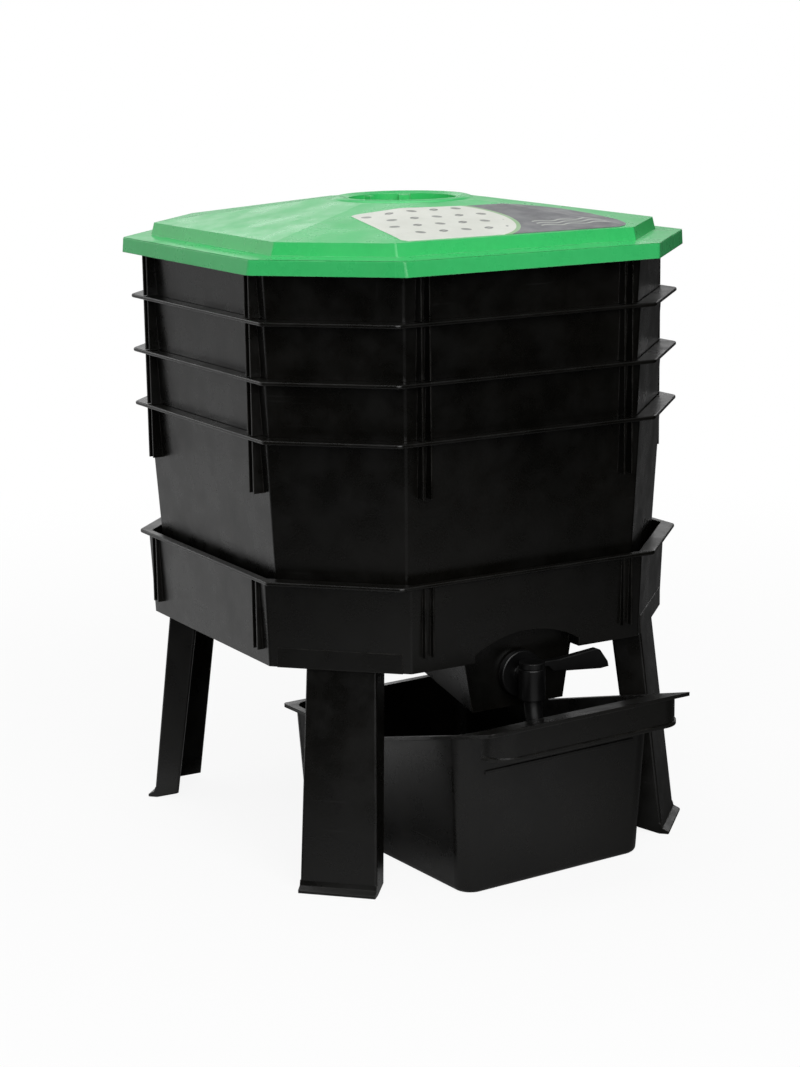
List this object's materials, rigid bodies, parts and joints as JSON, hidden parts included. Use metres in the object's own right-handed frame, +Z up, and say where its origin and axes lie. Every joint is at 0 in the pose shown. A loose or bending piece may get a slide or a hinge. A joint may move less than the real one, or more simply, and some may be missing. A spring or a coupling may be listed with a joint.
{
  "type": "wormery",
  "caption": "Octagonal stacking-tray worm composter: green lid with a sunk grip, nested black trays, legged collecting base with a tap and a loose bin under it",
  "frame": {"origin": "middle of the footprint, on the ground the feet stand on", "axes": "+Z up, the tap and the loose bin face -Y, +X to the right when seen from the front"},
  "size_m": [0.4166, 0.4824, 0.542],
  "materials": {
    "black_shell": "black recycled moulded plastic, semi-gloss with a light moulding mottle",
    "green_lid": "bright green moulded plastic, semi-gloss",
    "label_print": "satin printed film, cream panel with small marks beside a dark grey panel",
    "tap_plastic": "black moulded plastic, semi-gloss",
    "seal_rubber": "black rubber, matte"
  },
  "bodies": {
    "base": {"base": "black_shell", "leg_front_left": "black_shell", "leg_front_right": "black_shell", "leg_back_left": "black_shell", "leg_back_right": "black_shell", "tap_body": "tap_plastic", "tap_washer_outer": "seal_rubber", "tap_washer_inner": "seal_rubber", "tap_back_nut": "tap_plastic"},
    "tray_1": {"tray_1": "black_shell"},
    "tray_2": {"tray_2": "black_shell"},
    "tray_3": {"tray_3": "black_shell"},
    "tray_4": {"tray_4": "black_shell"},
    "lid": {"lid": "green_lid", "lid_label": "label_print"},
    "tap_valve": {"tap_plug": "tap_plastic", "tap_lever": "tap_plastic", "tap_o_ring": "seal_rubber"},
    "bin": {"collection_bin": "black_shell"}
  },
  "joints": [
    {"name": "tray_1_lift", "type": "slide", "parent": "base", "child": "tray_1", "axis": [0, 0, 1], "range_m": [0, 0.16]},
    {"name": "tray_2_lift", "type": "slide", "parent": "tray_1", "child": "tray_2", "axis": [0, 0, 1], "range_m": [0, 0.16]},
    {"name": "tray_3_lift", "type": "slide", "parent": "tray_2", "child": "tray_3", "axis": [0, 0, 1], "range_m": [0, 0.16]},
    {"name": "tray_4_lift", "type": "slide", "parent": "tray_3", "child": "tray_4", "axis": [0, 0, 1], "range_m": [0, 0.16]},
    {"name": "lid_lift", "type": "slide", "parent": "tray_4", "child": "lid", "axis": [0, 0, 1], "range_m": [0, 0.16]},
    {"name": "tap_turn", "type": "hinge", "parent": "base", "child": "tap_valve", "pos_m": [0, -0.16614, 0.172], "axis": [0, 0, -1], "range_deg": [0, 90]},
    {"name": "bin_slide", "type": "slide", "parent": "base", "child": "bin", "axis": [0.061, -0.9981, 0], "range_m": [0, 0.3]}
  ]
}
